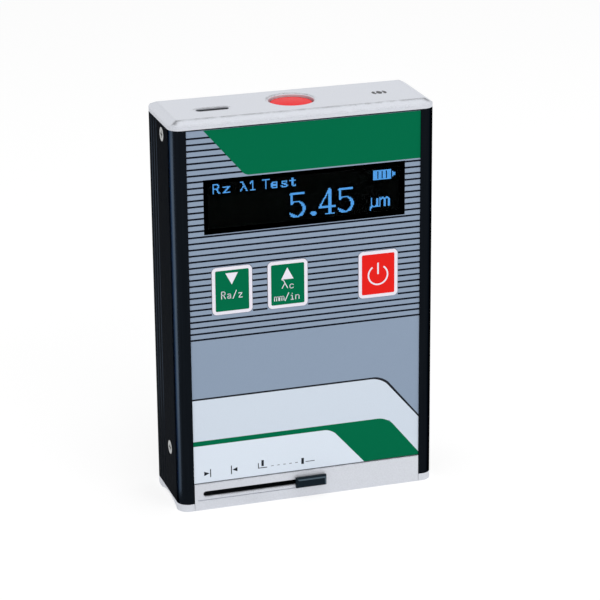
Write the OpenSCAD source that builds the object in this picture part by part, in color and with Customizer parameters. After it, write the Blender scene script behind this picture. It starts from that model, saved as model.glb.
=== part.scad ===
// Pocket surface roughness tester with a stylus pickup, its drive and a sliding shutter.
// Millimetres, +Z up, front towards -Y, origin at the middle of the standing plane.

/* [Body] */
// Width of the case
body_w = 70; // [66:1:90]
// Depth of the case, front to back
body_d = 24; // [23:0.5:32]
// Height of the case without the start button
body_h = 105; // [103:1:130]
// Radius of the upright corners
corner_r = 3; // [2:0.5:5]
// Thickness of the side walls
side_wall = 1.8; // [1.6:0.1:2.2]
// Thickness of the back wall
back_wall = 1.6; // [1.2:0.1:2]
// Thickness of the front wall behind the label
front_wall = 1.4; // [1:0.1:1.6]
// Number of fine grooves along each side
groove_n = 4; // [2:1:5]
// Distance between the side grooves
groove_pitch = 2.4; // [1.8:0.1:2.4]
// Depth of the side grooves
groove_deep = 0.25; // [0.15:0.05:0.4]

/* [Label] */
// Width of the lip on each side of the label
lip_w = 4; // [3.4:0.1:4.4]
// Thickness of the front label
label_t = 0.5; // [0.3:0.05:0.6]
// How far the label lies below the lips beside it
label_sink = 0.3; // [0.2:0.05:0.5]

/* [Display] */
// Width of the label beside the clear pane
pane_side = 4.2; // [3.5:0.1:8]
// Height of the clear pane
pane_h = 14.4; // [11:0.2:16]
// Distance from the top of the case to the middle of the pane
pane_drop = 22.7; // [20:0.1:24]
// Rim of the case that the pane rests on
pane_rim = 1; // [0.6:0.1:1.4]

/* [Keys] */
// Width of a key
key_w = 10.65; // [8:0.05:11.4]
// Height of a key
key_h = 12.65; // [9:0.05:14]
// Corner radius of a key
key_r = 1.2; // [0.6:0.1:2]
// Distance from the top of the case to the middle of the keys
key_drop = 45.25; // [42:0.25:48]
// Distance from the left edge of the label to the middle of the down key
down_in = 11.25; // [9.5:0.05:12]
// Distance from the left edge of the label to the middle of the up key
up_in = 26.05; // [25.8:0.05:28]
// Distance from the right edge of the label to the middle of the power key
power_in = 11.45; // [9.5:0.05:15]
// How far a key stands out of the label
key_proud = 0.12; // [0.06:0.02:0.4]
// Gap round a key
key_gap = 0.12; // [0.08:0.02:0.3]
// Travel of a key
key_travel = 0.35; // [0.2:0.05:0.45]

/* [Top cap] */
// Height of the top cap
cap_h = 2.2; // [2:0.1:3]
// Height of the upright rim below the bevel of the cap
cap_band = 1; // [0.8:0.1:1.4]
// Width of the bevel of the cap
cap_bevel = 2.2; // [1.2:0.1:3]
// Diameter of the start button
button_d = 11; // [9:0.1:12]
// Place of the start button, left to right
button_x = 0.2; // [-1:0.1:1]
// Place of the start button, front to back
button_y = 0.3; // [-0.5:0.1:0.5]
// Gap round the start button
button_gap = 0.4; // [0.3:0.05:0.5]
// How far the rim of the start button lies below the cap
button_sink = 0.6; // [0.4:0.05:0.8]
// Travel of the start button
button_travel = 0.5; // [0.3:0.1:0.8]
// Distance from the inside of the left wall to the middle of the charging socket
usb_in = 11.8; // [11.5:0.1:16]
// Width of the slot for the charging socket
usb_w = 8.6; // [8.4:0.1:9.4]
// Depth of the slot for the charging socket
usb_h = 2.6; // [2.4:0.1:2.9]

/* [Base] */
// Height of the base plate
base_h = 2; // [2:0.1:2.8]
// Radius of the arch under the base
arch_r = 20; // [16:0.5:30]
// Rise of the arch under the base
arch_rise = 1.5; // [1:0.1:1.5]
// Place of the arch, front to back
arch_y = -1.5; // [-2:0.1:-1]
// Height of the slotted front strip above the base
strip_h = 5.6; // [5.4:0.1:6.4]
// Thickness of the slotted front strip
strip_t = 1.4; // [1.2:0.1:1.6]

/* [Shutter] */
// Distance from the left edge of the strip to the slot
slot_in = 2.4; // [2.4:0.1:3.6]
// Travel of the shutter
shutter_travel = 26.5; // [26:0.1:27]
// Height of the slot
slot_h = 1.45; // [1.4:0.05:1.8]
// Length of the lever
lever_w = 8.3; // [6:0.1:9]
// Height of the lever
lever_h = 2.8; // [2.2:0.1:3]
// How far the lever stands out of the strip
lever_out = 1.7; // [1.2:0.1:2.4]

/* [Drive] */
// Travel of the stylus along the surface
stroke = 6; // [4:0.5:6.5]
// Teeth of the gear on the lead screw
gear_teeth = 24; // [20:2:24]
// Teeth of the motor pinion
pinion_teeth = 12; // [12:1:13]
// Tooth module of both gears
gear_module = 0.5; // [0.45:0.05:0.5]
// Height of the lead screw above the standing plane
screw_z = 14; // [13.9:0.1:14.4]
// Diameter of the lead screw
screw_d = 3; // [2.6:0.1:3.2]
// Diameter of the guide rods
rod_d = 2.5; // [2:0.1:2.6]

/* [Side screws] */
// Diameter of the heads of the side screws
head_d = 3.6; // [3.4:0.1:4.4]
// Height of the lower side screws
screw_low = 15.2; // [13:0.1:16]
// Distance from the top of the case to the upper side screws
screw_drop = 5; // [4.8:0.1:5.6]
// Place of the side screws, front to back
screw_y = -3.2; // [-4:0.1:-2.5]

/* [Hidden] */
$fn = 48;
// Free gap between pieces that move past each other
air = 0.3;
// Radial clearance of a shaft that turns or slides in its bore
run = 0.05;
// Cut past a face
cut = 1;
// Width of a seam between two fixed pieces
seam = 0.1;
front = -body_d / 2;
back = body_d / 2;
cap_z = body_h - cap_h;
in_x = body_w / 2 - side_wall;
label_w = body_w - 2 * lip_w;
pane_w = label_w - 2 * pane_side;
down_x = -label_w / 2 + down_in;
up_x = -label_w / 2 + up_in;
power_x = label_w / 2 - power_in;
usb_x = -in_x + usb_in;
slot_left = -label_w / 2 + slot_in;
label_y = front + label_sink;
floor_y = label_y + label_t;
in_front = floor_y + front_wall;
in_back = back - back_wall;
in_r = 1;
label_z = base_h + strip_h;
// Gap between the top of the label and the cap
label_gap = 0.45;
label_top = cap_z - label_gap;
pad_z = base_h + 0.4;
pane_z = body_h - pane_drop;
key_z = body_h - key_drop;
groove_w = 0.6;
groove_y = back - corner_r + 0.4 - (groove_n - 1) * groove_pitch;

// Boards behind the front wall
board_t = 1.6;
board_y = in_front + 4.4;
board_back = board_y + board_t;
board_low = 31;
board_drop = 13;
tab_drop = 6.5;
board_high = body_h - board_drop;
board_top = body_h - tab_drop;
rail_in = 1.4;
rail_t = 1.4;
tab_in = 6.2;
tab_w = 2 * (in_x - tab_in);
oled_t = 1.2;
oled_w = min(pane_w + 6, 2 * in_x - 2);
oled_h = pane_h + 6;
glass_gap = 0.05;
header_w = 20;
header_h = 2.5;
switch_w = 6;
switch_t = 2.4;
stem_d = 3.3;
flange_t = 0.6;
flange_edge = 0.9;

// Cell and chips
battery_w = 52;
battery_t = 6.2;
battery_low = 36;
battery_high = board_high;
battery_r = 1.2;
processor_w = 10;
processor_t = 1.2;
memory_w = 7;
memory_t = 1;
charger_w = 6;
charger_h = 5;
charger_t = 1.5;
chip_x = 12;
chip_rise = 15;
charger_drop = 11.5;

// Start button and its switch
dome_rise = 0.3;
button_top = body_h - button_sink + dome_rise;
bore_d = button_d + 2 * button_gap;
bore_edge = 0.3;
dome_r = (pow(button_d / 2, 2) + pow(dome_rise, 2)) / (2 * dome_rise);
button_flange_d = button_d + 2;
button_flange_t = 1;
button_flange_z = cap_z - air - button_flange_t;
start_w = 6.4;
start_h = 5.5;
start_wall = 1.1;
start_stem_d = 3.4;
start_d = button_y - board_back + start_stem_d / 2 + start_wall;
start_floor = 1.5;
start_dip = 1.5;
key_dip = 1.4;
// Depth to which one part of a piece runs into the next
weld = 0.5;

// Charging socket
usb_land = 0.5;
socket_w = usb_w + 0.3;
socket_d = usb_h + 0.6;
socket_wall = 0.3;
socket_top = body_h - usb_land - 0.2;
socket_h = 10;
usb_y = board_back + socket_d / 2;

// Side screws, lugs of the cap and uprights of the base
shank_d = 2;
head_t = 0.9;
cross_w = 0.45;
cross_l = 1.9;
cross_t = 0.5;
upright_t = 2.5;
lug_t = 3.2;
lug_w = 6;
hole_gap = 0.02;
screw_high = body_h - screw_drop;

// Shutter
slot_z = base_h + 2.475;
stem_w = 4;
stem_h = slot_h - 2 * air;
stem_x = slot_left + slot_h / 2 + shutter_travel;
slot_right = stem_x + stem_w + slot_h / 2;
lever_x = stem_x + stem_w / 2;
lever_grip = 0.7;
lever_edge = 0.35;
// Skin of the strip at the slot, and the height of the room behind it
slot_skin = 0.5;
slot_room = slot_h + 1.4;
// Shallow track below the slot, as long as the sweep of the lever
track_z = base_h + 0.65;
track_h = 0.25;
track_deep = 0.3;
track_right = lever_x + lever_w / 2;
track_left = track_right - lever_w - shutter_travel;
plate_t = 0.6;
plate_z = pad_z + air;
plate_front = front + strip_t + air;
plate_rear = 3.2;

// Drive frame
unit_y = 0.5;
rod_dy = 5;
frame_t = 2;
frame_span = 20;
gear_room = 6.7;
frame_right = in_x - upright_t - gear_room;
frame_left = frame_right - frame_span - frame_t;
rod_edge = 2.3;
frame_back = 7.6;
spine_t = 1.6;
foot_y = 4.3;
foot_t = 1.2;
foot_screw_y = 5.9;
foot_screw_in = 5;
foot_screw_d = 1.6;
foot_head_d = 2.8;
foot_head_t = 1.1;
foot_hole = 1.7;
foot_dip = 1.5;
foot_cross_w = 0.4;
foot_cross_l = 1.5;
foot_cross_t = 0.45;
left_low = 11.3;
left_rise = 3.2;
right_rise = 15;
left_high = screw_z + left_rise;
right_high = screw_z + right_rise;
bush_d = 4.6;
gear_t = 2.5;
gear_x = frame_right + frame_t + 0.4;
mesh_play = 0.1;
// Pressure angle of the teeth, in degrees
pressure = 20;
pinion_z = screw_z + gear_module * (gear_teeth + pinion_teeth) / 2 + mesh_play;
motor_w = 12;
motor_h = 10;
motor_l = 24;
motor_shaft_d = 3;
motor_shaft_in = 4;
motor_box_l = 9;
motor_boss_d = 4;
motor_boss_l = 1.2;

// Carriage, pickup and stylus
carriage_l = 10;
end_room = 2;
carriage_x = frame_left + frame_t + end_room;
carriage_low = 10.8;
carriage_high = screw_z + 3;
carriage_y0 = unit_y - rod_dy - 2.5;
carriage_y1 = unit_y + rod_dy + 1.5;
nut_d = 6;
nut_l = 4;
arm_y = -1;
arm_w = 5;
arm_low = 5.5;
arm_h = 3;
pivot_x = carriage_x + 2;
pivot_z = 7;
pivot_d = 1.6;
ear_t = 1.2;
tip_in = 6.8;
tip_x = -in_x + tip_in;
tip_z = 0.2;
nose_x0 = tip_x - 1.2;
nose_l = 4;
nose_w = 4;
nose_low = 1.7;
groove_in_w = 2.4;
groove_in_h = 2.2;
channel_end = 14;
channel_x1 = pivot_x - channel_end;
stylus_w = 1;
stylus_h = 1;
stylus_z = 6.4;
stylus_back = 20;
stylus_pivot_x = pivot_x - stylus_back;
stylus_pin_d = 0.8;
post_d = 0.9;
skid_d = 1.6;
skid_x = tip_x + 1.9;
hatch_gap = 0.9;
hatch_x0 = nose_x0 - hatch_gap - 0.4;
hatch_x1 = nose_x0 + nose_l + stroke + hatch_gap;
plate_over = 0.6;
plate_x = hatch_x0 - plate_over + shutter_travel;
plate_w = hatch_x1 - hatch_x0 + 2 * plate_over;
hatch_y0 = arm_y - arm_w / 2 - hatch_gap;
hatch_y1 = arm_y + arm_w / 2 + 0.6;

housing();
top_cap();
base();
slot_plate();
front_label();
display_window();
oled_module();
display_header();
main_board();
key_switches();
start_switch();
usb_socket();
battery();
control_chips();
side_screws();
drive_frame();
frame_screws();
guide_rods();
screw_bushes();
gear_motor();
motor_pinion();
lead_screw();
screw_gear();
carriage();
drive_nut();
pickup_pin();
pickup_body();
pickup_skid();
sensor_coil();
stylus_pin();
stylus_arm();
stylus_tip();
start_button();
down_key();
up_key();
power_key();
shutter_plate();
shutter_lever();

// Box between two corners
module span(a, b) {
  translate(a)
    cube(b - a);
}

// Upright box with round upright corners, between two heights
module pillar(x0, x1, y0, y1, z0, z1, r) {
  span([x0 + r, y0, z0], [x1 - r, y1, z1]);
  span([x0, y0 + r, z0], [x1, y1 - r, z1]);
  for (x = [x0 + r, x1 - r], y = [y0 + r, y1 - r])
    translate([x, y, z0])
      cylinder(r = r, h = z1 - z0);
}

// Panel that faces the front, with round corners, between two depths
module panel(x, z, w, h, y0, y1, r) {
  span([x - w / 2 + r, y0, z - h / 2], [x + w / 2 - r, y1, z + h / 2]);
  span([x - w / 2, y0, z - h / 2 + r], [x + w / 2, y1, z + h / 2 - r]);
  for (dx = [-1, 1], dz = [-1, 1])
    translate([x + dx * (w / 2 - r), y0, z + dz * (h / 2 - r)])
      rotate([-90, 0, 0])
        cylinder(r = r, h = y1 - y0);
}

// Round bar along X
module bar_x(x0, x1, y, z, d) {
  translate([x0, y, z])
    rotate([0, 90, 0])
      cylinder(d = d, h = x1 - x0);
}

// Round bar along Y
module bar_y(y0, y1, x, z, d) {
  translate([x, y0, z])
    rotate([-90, 0, 0])
      cylinder(d = d, h = y1 - y0);
}

// Openings for the three keys through the label and the front wall
module key_openings() {
  for (x = [down_x, up_x, power_x])
    panel(
      x, key_z, key_w + 2 * key_gap, key_h + 2 * key_gap,
      front - cut, in_front + cut, key_r + key_gap
    );
}

// Holes for the side screws: clearance through the wall and a flat seat for the head
module side_holes() {
  for (z = [screw_low, screw_high], s = [-1, 1]) {
    x = s * body_w / 2;
    bar_x(x - head_t, x + head_t, screw_y, z, head_d + 0.2);
    bar_x(x - side_wall - 0.5, x + side_wall + 0.5, screw_y, z, shank_d + 0.3);
  }
}

module housing() {
  color("#15181d")
    difference() {
      union() {
        difference() {
          pillar(-body_w / 2, body_w / 2, front, back, base_h, cap_z, corner_r);
          pillar(-in_x, in_x, in_front, in_back, base_h - cut, cap_z + cut, in_r);
        }
        for (s = [-1, 1]) {
          x0 = s > 0 ? in_x - rail_in : -in_x - 0.2;
          x1 = s > 0 ? in_x + 0.2 : -in_x + rail_in;
          span([x0, board_y - rail_t, board_low], [x1, board_y, board_high]);
          span([x0, board_back, board_low], [x1, board_back + rail_t, board_high]);
        }
      }
      span([-label_w / 2, front - cut, base_h - cut], [label_w / 2, floor_y, cap_z + cut]);
      span([-label_w / 2, front - cut, base_h - cut], [label_w / 2, in_front + 0.01, label_z]);
      span(
        [-pane_w / 2 + pane_rim, front - cut, pane_z - pane_h / 2 + pane_rim],
        [pane_w / 2 - pane_rim, in_front + cut, pane_z + pane_h / 2 - pane_rim]
      );
      key_openings();
      side_holes();
      for (i = [0 : groove_n - 1], s = [-1, 1])
        translate([s * body_w / 2, groove_y + i * groove_pitch, base_h - cut])
          linear_extrude(height = cap_z - base_h + 2 * cut)
            polygon([
              [-s * groove_deep, 0],
              [s * 0.1, -groove_w / 2 - 0.12],
              [s * 0.1, groove_w / 2 + 0.12]
            ]);
    }
}

module top_cap() {
  rise = cap_h - cap_band;
  color("#e1e1e6")
    difference() {
      union() {
        intersection() {
          pillar(-body_w / 2, body_w / 2, front, back, cap_z, body_h, corner_r);
          translate([-body_w / 2 - cut, 0, 0])
            rotate([90, 0, 90])
              linear_extrude(height = body_w + 2 * cut)
                polygon([
                  [front, cap_z],
                  [back, cap_z],
                  [back, body_h - rise],
                  [back - cap_bevel, body_h],
                  [front + cap_bevel, body_h],
                  [front, body_h - rise]
                ]);
          translate([0, back + cut, 0])
            rotate([90, 0, 0])
              linear_extrude(height = body_d + 2 * cut)
                polygon([
                  [-body_w / 2, cap_z],
                  [body_w / 2, cap_z],
                  [body_w / 2, body_h - rise],
                  [body_w / 2 - cap_bevel, body_h],
                  [-body_w / 2 + cap_bevel, body_h],
                  [-body_w / 2, body_h - rise]
                ]);
        }
        for (s = [-1, 1]) {
          x0 = s > 0 ? in_x - lug_t : -in_x;
          span(
            [x0, screw_y - lug_w / 2, screw_high - 2.5],
            [x0 + lug_t, screw_y + lug_w / 2, cap_z + weld]
          );
        }
      }
      translate([button_x, button_y, cap_z - cut])
        cylinder(d = bore_d, h = cap_h + 2 * cut);
      translate([button_x, button_y, body_h - bore_edge])
        cylinder(d1 = bore_d, d2 = bore_d + 4 * bore_edge, h = 2 * bore_edge);
      pillar(
        usb_x - usb_w / 2, usb_x + usb_w / 2, usb_y - usb_h / 2, usb_y + usb_h / 2,
        cap_z - cut, body_h + cut, usb_h / 2 - 0.25
      );
      pillar(
        usb_x - socket_w / 2 - air, usb_x + socket_w / 2 + air,
        usb_y - socket_d / 2 - air, usb_y + socket_d / 2 + air,
        cap_z - cut, body_h - usb_land, socket_d / 2
      );
      for (s = [-1, 1])
        bar_x(s * in_x - lug_t, s * in_x + lug_t, screw_y, screw_high, shank_d + 2 * hole_gap);
    }
}

module base() {
  color("#d2d2d8")
    difference() {
      union() {
        difference() {
          pillar(-body_w / 2, body_w / 2, front, back, 0, base_h, corner_r);
          bar_x(-body_w / 2 - cut, body_w / 2 + cut, arch_y, arch_rise - arch_r, 2 * arch_r);
          span([hatch_x0, hatch_y0, -cut], [hatch_x1, hatch_y1, base_h + cut]);
          span([-label_w / 2, front - cut, -cut], [label_w / 2, front + strip_t, base_h + cut]);
        }
        difference() {
          pillar(
            -in_x + seam, in_x - seam, in_front + seam, in_back - seam,
            base_h - weld, pad_z, in_r
          );
          span([hatch_x0, hatch_y0, base_h - cut], [hatch_x1, hatch_y1, pad_z + cut]);
          bar_x(-body_w / 2 - cut, body_w / 2 + cut, arch_y, arch_rise - arch_r, 2 * arch_r);
        }
        for (s = [-1, 1]) {
          x0 = s > 0 ? in_x - upright_t : -in_x;
          span(
            [x0, screw_y - lug_w / 2, base_h - 0.4],
            [x0 + upright_t, screw_y + lug_w / 2, screw_low + 2.6]
          );
        }
        span([hatch_x0, plate_rear + air, pad_z - 0.3],
          [plate_x + plate_w + 0.5, plate_rear + air + 0.6, plate_z + plate_t + air + 0.7]);
        span([hatch_x0, plate_rear - 0.6, plate_z + plate_t + air],
          [plate_x + plate_w + 0.5, plate_rear + air + 0.6, plate_z + plate_t + air + 0.7]);
      }
      for (s = [-1, 1])
        bar_x(s * in_x - lug_t, s * in_x + lug_t, screw_y, screw_low, shank_d + 2 * hole_gap);
      for (x = [frame_left + foot_screw_in, frame_right - foot_screw_in])
        translate([x, foot_screw_y, pad_z - foot_hole])
          cylinder(d = foot_screw_d + 2 * hole_gap, h = foot_hole + cut);
    }
}

module slot_plate() {
  color("#d7d7de")
    difference() {
      span(
        [-label_w / 2 + seam, front, 0],
        [label_w / 2 - seam, front + strip_t, label_z - 2 * seam]
      );
      span([track_left, front - cut, track_z], [track_right, front + track_deep, track_z + track_h]);
      panel(
        (slot_left + slot_right) / 2, slot_z, slot_right - slot_left, slot_h,
        front - cut, front + strip_t + cut, slot_h / 2 - 0.01
      );
      panel(
        (slot_left + slot_right) / 2, slot_z, slot_right - slot_left + slot_room - slot_h, slot_room,
        front + slot_skin, front + strip_t + cut, slot_room / 2 - 0.01
      );
    }
}

module front_label() {
  color("#909fb5")
    difference() {
      span([-label_w / 2, label_y, label_z], [label_w / 2, floor_y, label_top]);
      span(
        [-pane_w / 2, label_y - cut, pane_z - pane_h / 2],
        [pane_w / 2, floor_y + cut, pane_z + pane_h / 2]
      );
      key_openings();
    }
}

module display_window() {
  color("#0a0c0c")
    span(
      [-pane_w / 2, label_y, pane_z - pane_h / 2],
      [pane_w / 2, floor_y, pane_z + pane_h / 2]
    );
}

module oled_module() {
  glass_w = pane_w - 2 * pane_rim - 0.4;
  glass_h = pane_h - 2 * pane_rim - 0.4;
  color("#0c0e10") {
    span(
      [-oled_w / 2, in_front, pane_z - oled_h / 2],
      [oled_w / 2, in_front + oled_t, pane_z + oled_h / 2]
    );
    span(
      [-glass_w / 2, floor_y + glass_gap, pane_z - glass_h / 2],
      [glass_w / 2, in_front + 0.2, pane_z + glass_h / 2]
    );
  }
}

module display_header() {
  color("#1a1a1a")
    span(
      [-header_w / 2, in_front + oled_t, pane_z + oled_h / 2 - header_h - 0.5],
      [header_w / 2, board_y, pane_z + oled_h / 2 - 0.5]
    );
}

module main_board() {
  color("#1d5a38") {
    span([-in_x + 0.2, board_y, board_low], [in_x - 0.2, board_back, board_high]);
    span([-tab_w / 2, board_y, board_high - 1], [tab_w / 2, board_back, board_top]);
  }
}

module key_switches() {
  color("#303236")
    for (x = [down_x, up_x, power_x])
      difference() {
        span(
          [x - switch_w / 2, board_y - switch_t, key_z - switch_w / 2],
          [x + switch_w / 2, board_y, key_z + switch_w / 2]
        );
        bar_y(board_y - switch_t - cut, board_y - 0.5, x, key_z, stem_d + 4 * run);
      }
}

module start_switch() {
  color("#303236")
    difference() {
      span(
        [button_x - start_w / 2, board_back, board_top - start_h],
        [button_x + start_w / 2, board_back + start_d, board_top]
      );
      translate([button_x, button_y, board_top - start_h + start_floor])
        cylinder(d = start_stem_d + 4 * run, h = start_h);
    }
}

module usb_socket() {
  r = socket_d / 2 - 0.25;
  color("#b9bcc2") {
    difference() {
      pillar(
        usb_x - socket_w / 2, usb_x + socket_w / 2, board_back, board_back + socket_d,
        socket_top - socket_h, socket_top, r
      );
      pillar(
        usb_x - socket_w / 2 + socket_wall, usb_x + socket_w / 2 - socket_wall,
        board_back + socket_wall, board_back + socket_d - socket_wall,
        socket_top - socket_h + 1, socket_top + cut, r - socket_wall
      );
    }
    span(
      [usb_x - socket_w / 2 + 1.4, usb_y - 0.4, socket_top - socket_h + 0.5],
      [usb_x + socket_w / 2 - 1.4, usb_y + 0.4, socket_top - 1]
    );
  }
}

module battery() {
  color("#3f6fa8")
    pillar(
      -battery_w / 2, battery_w / 2, in_back - battery_t, in_back,
      battery_low, battery_high, battery_r
    );
}

// One chip on the back of the board
module chip(x, z, w, h, t) {
  span([x - w / 2, board_back, z - h / 2], [x + w / 2, board_back + t, z + h / 2]);
}

module control_chips() {
  color("#17181a") {
    chip(-chip_x, key_z + chip_rise, processor_w, processor_w, processor_t);
    chip(chip_x / 2, key_z + chip_rise, memory_w, memory_w, memory_t);
    chip(chip_x, key_z - charger_drop, charger_w, charger_h, charger_t);
  }
}

module side_screws() {
  color("#c9ccd2")
    for (z = [screw_low, screw_high], s = [-1, 1]) {
      reach = z == screw_low ? upright_t : lug_t;
      difference() {
        union() {
          bar_x(min(s * body_w / 2, s * (body_w / 2 - head_t)),
            max(s * body_w / 2, s * (body_w / 2 - head_t)), screw_y, z, head_d);
          bar_x(min(s * (body_w / 2 - head_t + 0.2), s * (in_x - reach + 0.2)),
            max(s * (body_w / 2 - head_t + 0.2), s * (in_x - reach + 0.2)), screw_y, z, shank_d);
        }
        for (a = [0, 90])
          translate([s * body_w / 2, screw_y, z])
            rotate([a, 0, 0])
              cube([2 * cross_t, cross_w, cross_l], center = true);
      }
    }
}

module drive_frame() {
  x1 = frame_right + frame_t;
  y0 = unit_y - rod_dy - rod_edge;
  color("#aeb1b8")
    difference() {
      union() {
        span([frame_left, y0, left_low], [frame_left + frame_t, frame_back + spine_t, left_high]);
        span([frame_right, y0, pad_z], [x1, frame_back + spine_t, right_high]);
        span([frame_left, frame_back, pad_z], [x1, frame_back + spine_t, left_high]);
        span([frame_left, foot_y, pad_z], [x1, frame_back + spine_t, pad_z + foot_t]);
      }
      for (s = [-1, 1])
        bar_x(frame_left - cut, x1 + cut, unit_y + s * rod_dy, screw_z, rod_d);
      bar_x(frame_left - cut, x1 + cut, unit_y, screw_z, bush_d);
      bar_x(frame_right - cut, x1 + cut, unit_y, pinion_z, motor_shaft_d + 1);
      for (x = [frame_left + foot_screw_in, frame_right - foot_screw_in])
        translate([x, foot_screw_y, pad_z - cut])
          cylinder(d = foot_screw_d + 0.2, h = foot_t + 2 * cut);
    }
}

module frame_screws() {
  color("#c9ccd2")
    for (x = [frame_left + foot_screw_in, frame_right - foot_screw_in])
      translate([x, foot_screw_y, 0])
        difference() {
          union() {
            translate([0, 0, pad_z + foot_t])
              cylinder(d = foot_head_d, h = foot_head_t);
            translate([0, 0, pad_z - foot_dip])
              cylinder(d = foot_screw_d, h = foot_t + foot_dip + weld);
          }
          translate([0, 0, pad_z + foot_t + foot_head_t])
            for (a = [0, 90])
              rotate([0, 0, a])
                cube([foot_cross_l, foot_cross_w, 2 * foot_cross_t], center = true);
        }
}

module guide_rods() {
  color("#d4d6da")
    for (s = [-1, 1])
      bar_x(frame_left, frame_right + frame_t, unit_y + s * rod_dy, screw_z, rod_d);
}

module screw_bushes() {
  color("#b08d4a")
    for (x = [frame_left, frame_right])
      difference() {
        bar_x(x, x + frame_t, unit_y, screw_z, bush_d);
        bar_x(x - cut, x + frame_t + cut, unit_y, screw_z, screw_d + 2 * run);
      }
}

module gear_motor() {
  color("#9a9da3")
    difference() {
      union() {
        span(
          [frame_right - motor_box_l, unit_y - motor_w / 2, pinion_z - motor_h / 2],
          [frame_right, unit_y + motor_w / 2, pinion_z + motor_h / 2]
        );
        intersection() {
          bar_x(frame_right - motor_l, frame_right - motor_box_l + 0.5, unit_y, pinion_z, motor_w);
          span(
            [frame_right - motor_l, unit_y - motor_w / 2, pinion_z - motor_h / 2],
            [frame_right, unit_y + motor_w / 2, pinion_z + motor_h / 2]
          );
        }
        bar_x(
          frame_right - motor_l - motor_boss_l, frame_right - motor_l + 0.5,
          unit_y, pinion_z, motor_boss_d
        );
      }
      bar_x(frame_right - motor_shaft_in - cut, frame_right + cut, unit_y, pinion_z, motor_shaft_d + 2 * run);
    }
}

// Angle in degrees that an involute turns through at pressure angle a
function inv(a) = tan(a) * 180 / PI - a;

// Outline of an involute gear with play on its flanks
function flank(teeth, m, r) =
  let (rp = teeth * m / 2, rb = rp * cos(pressure), a = r > rb ? acos(rb / r) : 0)
  90 / teeth - 0.06 / rp * 180 / PI + inv(pressure) - inv(a);

module gear(teeth, m, t, bore) {
  rp = teeth * m / 2;
  rb = rp * cos(pressure);
  tip = rp + 0.85 * m;
  root = rp - 1.15 * m;
  radii = [root, max(rb, root + 0.05), rp - 0.05 * m, rp + 0.4 * m, tip];
  difference() {
    linear_extrude(height = t)
      polygon([
        for (i = [0 : teeth - 1], k = [0 : 9])
          let (
            j = k < 5 ? k : 9 - k,
            side = k < 5 ? -1 : 1,
            a = i * 360 / teeth + side * flank(teeth, m, radii[j])
          )
          [radii[j] * cos(a), radii[j] * sin(a)]
      ]);
    translate([0, 0, -cut])
      cylinder(d = bore, h = t + 2 * cut);
  }
}

module motor_pinion() {
  color("#b08d4a") {
    translate([gear_x, unit_y, pinion_z])
      rotate([0, 90, 0])
        rotate([0, 0, 180 / pinion_teeth])
          gear(pinion_teeth, gear_module, gear_t, motor_shaft_d - 0.4);
    bar_x(frame_right - motor_shaft_in, gear_x + gear_t, unit_y, pinion_z, motor_shaft_d);
  }
}

module lead_screw() {
  color("#c4c7cc") {
    bar_x(frame_left, gear_x + gear_t + 0.4, unit_y, screw_z, screw_d);
    bar_x(frame_left + frame_t + air, frame_left + frame_t + air + 1, unit_y, screw_z, screw_d + 1.4);
  }
}

module screw_gear() {
  color("#e8e6dc")
    translate([gear_x, unit_y, screw_z])
      rotate([0, 90, 0])
        rotate([0, 0, 180])
          gear(gear_teeth, gear_module, gear_t, screw_d);
}

module carriage() {
  x1 = carriage_x + carriage_l;
  ear_in = arm_w / 2 + air;
  color("#6b7078")
    difference() {
      union() {
        span([carriage_x, carriage_y0, carriage_low], [x1, carriage_y1, carriage_high]);
        for (s = [-1, 1])
          span(
            [carriage_x, arm_y + (s > 0 ? ear_in : -ear_in - ear_t), arm_low],
            [carriage_x + 4, arm_y + (s > 0 ? ear_in + ear_t : -ear_in), carriage_low + 0.5]
          );
      }
      for (s = [-1, 1])
        bar_x(carriage_x - cut, x1 + cut, unit_y + s * rod_dy, screw_z, rod_d + 2 * run);
      bar_x(carriage_x - cut, x1 + cut, unit_y, screw_z, screw_d + 1);
      bar_x(x1 - nut_l, x1 + cut, unit_y, screw_z, nut_d);
      bar_y(arm_y - arm_w, arm_y + arm_w, pivot_x, pivot_z, pivot_d);
    }
}

module drive_nut() {
  x1 = carriage_x + carriage_l;
  color("#b08d4a")
    difference() {
      bar_x(x1 - nut_l, x1, unit_y, screw_z, nut_d);
      bar_x(x1 - nut_l - cut, x1 + cut, unit_y, screw_z, screw_d + 2 * run);
    }
}

module pickup_pin() {
  reach = arm_w / 2 + air + ear_t;
  color("#c4c7cc")
    bar_y(arm_y - reach, arm_y + reach, pivot_x, pivot_z, pivot_d);
}

module pickup_body() {
  color("#8d9096")
    difference() {
      union() {
        span(
          [nose_x0, arm_y - arm_w / 2, arm_low],
          [pivot_x + 2, arm_y + arm_w / 2, arm_low + arm_h]
        );
        span(
          [nose_x0, arm_y - nose_w / 2, nose_low],
          [nose_x0 + nose_l, arm_y + nose_w / 2, arm_low + 0.5]
        );
      }
      span(
        [nose_x0 + 0.6, arm_y - groove_in_w / 2, arm_low - 0.2],
        [channel_x1, arm_y + groove_in_w / 2, arm_low + groove_in_h]
      );
      span(
        [nose_x0 + nose_l, arm_y - groove_in_w / 2, arm_low - cut],
        [channel_x1, arm_y + groove_in_w / 2, arm_low + 0.1]
      );
      translate([tip_x, arm_y, nose_low - cut])
        cylinder(d = post_d + 2 * air, h = arm_low);
      bar_y(arm_y - arm_w, arm_y + arm_w, pivot_x, pivot_z, pivot_d + 2 * run);
      bar_y(arm_y - arm_w, arm_y + arm_w, stylus_pivot_x, stylus_z, stylus_pin_d);
      translate([skid_x, arm_y, nose_low - cut])
        cylinder(d = skid_d, h = cut + 1.5);
    }
}

module pickup_skid() {
  color("#d9dade") {
    translate([skid_x, arm_y, tip_z + 0.1 + skid_d / 2])
      cylinder(d = skid_d, h = nose_low + 1.5 - tip_z - 0.1 - skid_d / 2);
    translate([skid_x, arm_y, tip_z + 0.1 + skid_d / 2])
      sphere(d = skid_d);
  }
}

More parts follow.
